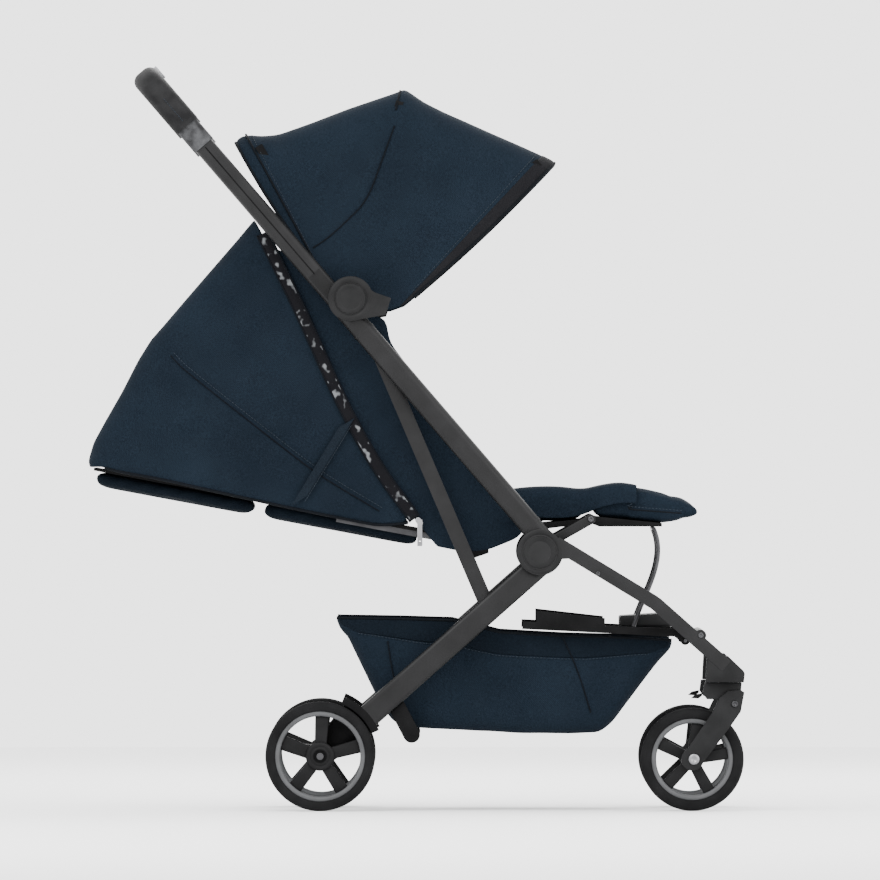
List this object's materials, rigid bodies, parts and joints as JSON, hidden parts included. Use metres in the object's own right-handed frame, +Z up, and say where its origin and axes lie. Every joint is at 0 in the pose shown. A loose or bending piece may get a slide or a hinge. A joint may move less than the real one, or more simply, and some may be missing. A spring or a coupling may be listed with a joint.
{
  "type": "baby stroller",
  "caption": "Compact folding baby stroller with reclining seat, leg rest, folding canopy, mesh-vented seat sides, shopping basket and swivelling front wheels.",
  "frame": {"origin": "on the ground under the middle of the overall box", "axes": "+X forwards, +Y to the rider's left, +Z up"},
  "size_m": [0.94, 0.45, 1.0696],
  "materials": {
    "frame_grey": "satin anodised",
    "hub_plastic": "moulded, fine grain",
    "black_plastic": "moulded",
    "rim_plastic": "moulded",
    "tyre": "matt",
    "grip": "stitched",
    "fabric_navy": "woven",
    "fabric_black": "woven",
    "mesh": "open mesh",
    "steel": "bright",
    "button_grey": "satin"
  },
  "bodies": {
    "frame": {"side_tubes": "frame_grey", "upper_hubs": "hub_plastic", "lower_hubs": "hub_plastic", "seat_bar": "frame_grey", "seat_base": "black_plastic", "seat_pad": "fabric_navy", "seat_wings": "fabric_navy", "rest_arms": "frame_grey", "canopy_rear_bow": "black_plastic", "crotch_strap": "fabric_black", "buckle": "black_plastic", "zip_sliders": "steel"},
    "handle": {"handle_frame": "frame_grey", "handle_hubs": "hub_plastic", "handle_grip": "grip", "handle_collars": "hub_plastic"},
    "fold_button": {"fold_button": "button_grey"},
    "buckle_button": {"buckle_button": "button_grey"},
    "canopy": {"canopy_brackets": "hub_plastic", "canopy_front_bow": "black_plastic", "canopy_cover": "fabric_navy"},
    "mid_bow": {"canopy_mid_bow": "black_plastic"},
    "recline_frame": {"recline_frame": "steel"},
    "backrest": {"back_board": "black_plastic", "back_pads": "fabric_navy", "back_liner": "fabric_navy", "shoulder_straps": "fabric_black", "seat_shell": "fabric_navy", "vent_strips": "mesh", "side_straps": "fabric_navy"},
    "leg_rest": {"leg_rest_board": "black_plastic", "leg_rest_pad": "fabric_navy"},
    "leg_rest_wire": {"leg_rest_wire": "steel"},
    "front_frame": {"front_legs": "frame_grey", "caster_blocks": "hub_plastic"},
    "side_rails": {"side_rails": "frame_grey", "foot_plate": "hub_plastic"},
    "rear_frame": {"rear_legs": "frame_grey", "fenders": "black_plastic", "rear_axle": "steel", "rear_bar": "frame_grey", "basket": "fabric_navy"},
    "brake_pedal": {"brake_pedal": "black_plastic"},
    "struts": {"struts": "frame_grey"},
    "zip_pull_left": {"zip_pull_left": "steel"},
    "swivel_left": {"swivel_head_left": "hub_plastic"},
    "swivel_lock_left": {"swivel_lock_left": "black_plastic"},
    "fork_left": {"caster_fork_left": "hub_plastic"},
    "front_wheel_left": {"front_left_tyre": "tyre", "front_left_rim": "rim_plastic"},
    "rear_wheel_left": {"rear_left_tyre": "tyre", "rear_left_rim": "rim_plastic"},
    "zip_pull_right": {"zip_pull_right": "steel"},
    "swivel_right": {"swivel_head_right": "hub_plastic"},
    "swivel_lock_right": {"swivel_lock_right": "black_plastic"},
    "fork_right": {"caster_fork_right": "hub_plastic"},
    "front_wheel_right": {"front_right_tyre": "tyre", "front_right_rim": "rim_plastic"},
    "rear_wheel_right": {"rear_right_tyre": "tyre", "rear_right_rim": "rim_plastic"}
  },
  "joints": [
    {"name": "frame_fold", "type": "hinge", "parent": "frame", "child": "rear_frame", "pos_m": [0.177, 0, 0.3705], "axis": [0, 1, 0], "range_deg": [0, 80], "deforming": ["basket", "seat_shell", "vent_strips", "side_straps", "canopy_cover"]},
    {"name": "front_fold", "type": "hinge", "parent": "frame", "child": "front_frame", "pos_m": [0.177, 0, 0.3705], "axis": [0, 1, 0], "range_deg": [0, 135]},
    {"name": "handle_fold", "type": "hinge", "parent": "frame", "child": "handle", "pos_m": [-0.094, 0, 0.733], "axis": [0, 1, 0], "range_deg": [0, 158]},
    {"name": "back_lift", "type": "hinge", "parent": "frame", "child": "recline_frame", "pos_m": [0.033, 0, 0.39], "axis": [0, 1, 0], "range_deg": [0, 58]},
    {"name": "recline", "type": "hinge", "parent": "recline_frame", "child": "backrest", "pos_m": [0.033, 0, 0.39], "axis": [0, -1, 0], "range_deg": [-50, 0], "deforming": ["seat_shell", "vent_strips", "side_straps"]},
    {"name": "strut_fold", "type": "hinge", "parent": "rear_frame", "child": "struts", "pos_m": [0.1044, 0, 0.2866], "axis": [0, -1, 0], "range_deg": [0, 91]},
    {"name": "rail_fold", "type": "hinge", "parent": "front_frame", "child": "side_rails", "pos_m": [0.385, 0, 0.244], "axis": [0, 1, 0], "range_deg": [0, 25]},
    {"name": "canopy_fold", "type": "hinge", "parent": "frame", "child": "canopy", "pos_m": [-0.094, 0, 0.733], "axis": [0, -1, 0], "range_deg": [0, 78], "deforming": ["canopy_cover"]},
    {"name": "mid_bow_fold", "type": "hinge", "parent": "frame", "child": "mid_bow", "pos_m": [-0.094, 0, 0.733], "axis": [0, -1, 0], "range_deg": [0, 42]},
    {"name": "leg_rest_tilt", "type": "hinge", "parent": "frame", "child": "leg_rest", "pos_m": [0.2498, 0, 0.4176], "axis": [0, 1, 0], "range_deg": [0, 50]},
    {"name": "wire_fold", "type": "hinge", "parent": "leg_rest", "child": "leg_rest_wire", "pos_m": [0.3406, 0, 0.4037], "axis": [0, 1, 0], "range_deg": [0, 18]},
    {"name": "brake_press", "type": "hinge", "parent": "rear_frame", "child": "brake_pedal", "pos_m": [-0.1375, 0, 0.0785], "axis": [0, -1, 0], "range_deg": [0, 18]},
    {"name": "fold_button_press", "type": "slide", "parent": "handle", "child": "fold_button", "axis": [-0.7581, 0, -0.6521], "range_m": [0, 0.0025], "stiffness_N_per_m": 600, "springref_m": -0.001},
    {"name": "buckle_button_press", "type": "slide", "parent": "frame", "child": "buckle_button", "axis": [-0.7848, 0, -0.6197], "range_m": [0, 0.002], "stiffness_N_per_m": 600, "springref_m": -0.001},
    {"name": "swivel_right_turn", "type": "hinge", "parent": "front_frame", "child": "swivel_right", "pos_m": [0.44, -0.186, 0.17], "axis": [0, 0, 1], "continuous": true},
    {"name": "suspension_right", "type": "hinge", "parent": "swivel_right", "child": "fork_right", "pos_m": [0.4558, -0.186, 0.1535], "axis": [0, 1, 0], "range_deg": [0, 8], "stiffness_Nm_per_rad": 30, "springref_deg": -5.73},
    {"name": "front_wheel_right_spin", "type": "hinge", "parent": "fork_right", "child": "front_wheel_right", "pos_m": [0.395, -0.186, 0.074], "axis": [0, 1, 0], "continuous": true},
    {"name": "rear_wheel_right_spin", "type": "hinge", "parent": "rear_frame", "child": "rear_wheel_right", "pos_m": [-0.1375, -0.207, 0.0785], "axis": [0, 1, 0], "continuous": true},
    {"name": "swivel_lock_right_flip", "type": "hinge", "parent": "swivel_right", "child": "swivel_lock_right", "pos_m": [0.404, -0.186, 0.165], "axis": [0, 1, 0], "range_deg": [0, 12]},
    {"name": "zip_pull_right_swing", "type": "hinge", "parent": "frame", "child": "zip_pull_right", "pos_m": [0.005, -0.1675, 0.415], "axis": [0, 1, 0], "range_deg": [-35, 35]},
    {"name": "swivel_left_turn", "type": "hinge", "parent": "front_frame", "child": "swivel_left", "pos_m": [0.44, 0.186, 0.17], "axis": [0, 0, 1], "continuous": true},
    {"name": "suspension_left", "type": "hinge", "parent": "swivel_left", "child": "fork_left", "pos_m": [0.4558, 0.186, 0.1535], "axis": [0, 1, 0], "range_deg": [0, 8], "stiffness_Nm_per_rad": 30, "springref_deg": -5.73},
    {"name": "front_wheel_left_spin", "type": "hinge", "parent": "fork_left", "child": "front_wheel_left", "pos_m": [0.395, 0.186, 0.074], "axis": [0, 1, 0], "continuous": true},
    {"name": "rear_wheel_left_spin", "type": "hinge", "parent": "rear_frame", "child": "rear_wheel_left", "pos_m": [-0.1375, 0.207, 0.0785], "axis": [0, 1, 0], "continuous": true},
    {"name": "swivel_lock_left_flip", "type": "hinge", "parent": "swivel_left", "child": "swivel_lock_left", "pos_m": [0.404, 0.186, 0.165], "axis": [0, 1, 0], "range_deg": [0, 12]},
    {"name": "zip_pull_left_swing", "type": "hinge", "parent": "frame", "child": "zip_pull_left", "pos_m": [0.005, 0.1675, 0.415], "axis": [0, 1, 0], "range_deg": [-35, 35]}
  ],
  "couplings": [
    {"joint": "front_fold", "follows": "frame_fold", "ratio": 1.6875},
    {"joint": "handle_fold", "follows": "frame_fold", "ratio": 1.975},
    {"joint": "back_lift", "follows": "frame_fold", "ratio": 0.725},
    {"joint": "strut_fold", "follows": "frame_fold", "ratio": 1.1375},
    {"joint": "rail_fold", "follows": "frame_fold", "ratio": 0.3125},
    {"joint": "mid_bow_fold", "follows": "canopy_fold", "ratio": 0.53846},
    {"joint": "wire_fold", "follows": "leg_rest_tilt", "ratio": 0.36}
  ]
}
